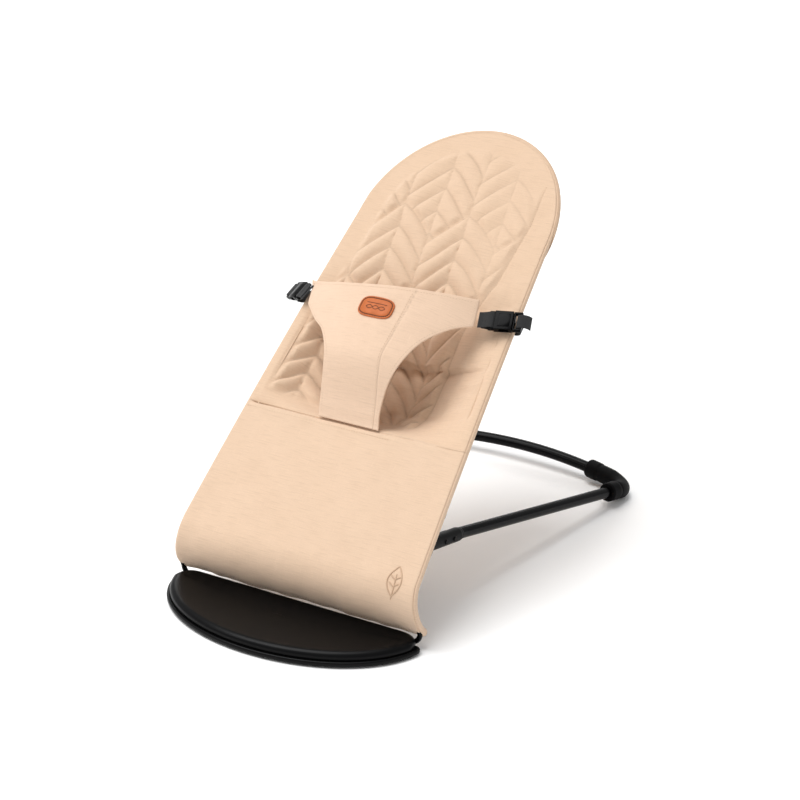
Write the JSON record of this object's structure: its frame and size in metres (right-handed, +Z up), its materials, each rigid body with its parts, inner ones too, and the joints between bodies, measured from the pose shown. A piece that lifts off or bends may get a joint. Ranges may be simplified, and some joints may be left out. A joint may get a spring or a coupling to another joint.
{
  "type": "baby bouncer seat",
  "caption": "Fabric baby bouncer on a sprung rod with a hinged front plate, a folding tube base with prop and rack, and a buckled harness flap.",
  "frame": {"origin": "on the floor, under the middle of the object's length and width", "axes": "+Z up, +Y from the front plate to the head end, +X to the right when looking along +Y"},
  "size_m": [0.4305, 0.72, 0.5256],
  "materials": {
    "canvas": "woven cream cotton-look canvas, quilted in the pouch and back",
    "leather": "tan leather with an embossed dark edge",
    "webbing": "black woven webbing",
    "buckle_plastic": "glossy black moulded plastic",
    "black_paint": "glossy black powder coat on steel",
    "black_plastic": "satin black moulded plastic",
    "rubber": "matte black rubber",
    "zinc": "zinc-plated steel"
  },
  "bodies": {
    "front_plate": {"plate_top": "black_plastic", "plate_tread": "rubber", "rod_clamp_left": "black_plastic", "plate_screw_1": "zinc", "plate_screw_2": "zinc", "rod_clamp_centre": "black_plastic", "plate_screw_3": "zinc", "plate_screw_4": "zinc", "rod_clamp_right": "black_plastic", "plate_screw_5": "zinc", "plate_screw_6": "zinc"},
    "seat_frame": {"seat_frame_rod": "black_paint", "leg_panel": "canvas", "seat_pouch": "canvas", "back_rest": "canvas", "rear_panel": "canvas", "pivot_bracket_left": "black_plastic", "prop_clip_left": "black_plastic", "anchor_strap_left": "webbing", "pivot_bracket_right": "black_plastic", "prop_clip_right": "black_plastic", "anchor_strap_right": "webbing"},
    "base_frame": {"base_tube": "black_paint", "prop_rack": "black_plastic", "rack_rivet_1": "black_paint", "rack_rivet_2": "black_paint", "rack_rivet_3": "black_paint", "rack_rivet_4": "black_paint", "pivot_sleeve_left": "black_plastic", "rear_foot_left": "rubber", "pivot_sleeve_right": "black_plastic", "rear_foot_right": "rubber"},
    "prop": {"prop_wire": "black_paint", "prop_foot_sleeve": "black_plastic"},
    "harness": {"harness_flap": "canvas", "leather_tag": "leather", "buckle_socket_left": "buckle_plastic", "flap_webbing_left": "webbing", "buckle_socket_right": "buckle_plastic", "flap_webbing_right": "webbing"},
    "plug_left": {"buckle_plug_left": "buckle_plastic", "strap_tail_left": "webbing"},
    "prong_left_upper": {"buckle_prong_left_upper": "buckle_plastic"},
    "prong_left_lower": {"buckle_prong_left_lower": "buckle_plastic"},
    "plug_right": {"buckle_plug_right": "buckle_plastic", "strap_tail_right": "webbing"},
    "prong_right_upper": {"buckle_prong_right_upper": "buckle_plastic"},
    "prong_right_lower": {"buckle_prong_right_lower": "buckle_plastic"}
  },
  "joints": [
    {"name": "seat_recline", "type": "hinge", "parent": "front_plate", "child": "seat_frame", "pos_m": [0.00484, -0.233, 0.009], "axis": [1, 0, 0], "range_deg": [-30, 0]},
    {"name": "base_fold", "type": "hinge", "parent": "seat_frame", "child": "base_frame", "pos_m": [0.00484, -0.18804, 0.11923], "axis": [1, 0, 0], "range_deg": [0, 34.5]},
    {"name": "prop_swing", "type": "hinge", "parent": "seat_frame", "child": "prop", "pos_m": [0.00484, -0.15089, 0.1526], "axis": [1, 0, 0], "range_deg": [0, 69]},
    {"name": "harness_lift", "type": "hinge", "parent": "seat_frame", "child": "harness", "pos_m": [0.00484, -0.09764, 0.22377], "axis": [1, 0, 0], "range_deg": [0, 12], "deforming": ["anchor_strap_left", "anchor_strap_right"]},
    {"name": "buckle_release_left", "type": "slide", "parent": "harness", "child": "plug_left", "axis": [-0.7877, 0.54, -0.2964], "range_m": [0, 0.028]},
    {"name": "buckle_press_left_upper", "type": "hinge", "parent": "plug_left", "child": "prong_left_upper", "pos_m": [-0.18267, 0.05731, 0.33307], "axis": [0.5506, 0.4014, -0.732], "range_deg": [0, 5], "stiffness_Nm_per_rad": 1.6},
    {"name": "buckle_press_left_lower", "type": "hinge", "parent": "plug_left", "child": "prong_left_lower", "pos_m": [-0.18787, 0.0434, 0.32153], "axis": [0.5506, 0.4014, -0.732], "range_deg": [-5, 0]},
    {"name": "buckle_release_right", "type": "slide", "parent": "harness", "child": "plug_right", "axis": [0.9508, 0.309, 0.0231], "range_m": [0, 0.028]},
    {"name": "buckle_press_right_upper", "type": "hinge", "parent": "plug_right", "child": "prong_right_upper", "pos_m": [0.16319, 0.05407, 0.35767], "axis": [0.173, -0.5913, 0.7877], "range_deg": [0, 5], "stiffness_Nm_per_rad": 1.6},
    {"name": "buckle_press_right_lower", "type": "hinge", "parent": "plug_right", "child": "prong_right_lower", "pos_m": [0.16803, 0.04007, 0.3461], "axis": [0.173, -0.5913, 0.7877], "range_deg": [-5, 0]}
  ],
  "couplings": [
    {"joint": "base_fold", "follows": "seat_recline", "ratio": -1.15},
    {"joint": "prop_swing", "follows": "seat_recline", "ratio": -2.3},
    {"joint": "buckle_press_left_lower", "follows": "buckle_press_left_upper", "ratio": -1},
    {"joint": "buckle_press_right_lower", "follows": "buckle_press_right_upper", "ratio": -1}
  ]
}
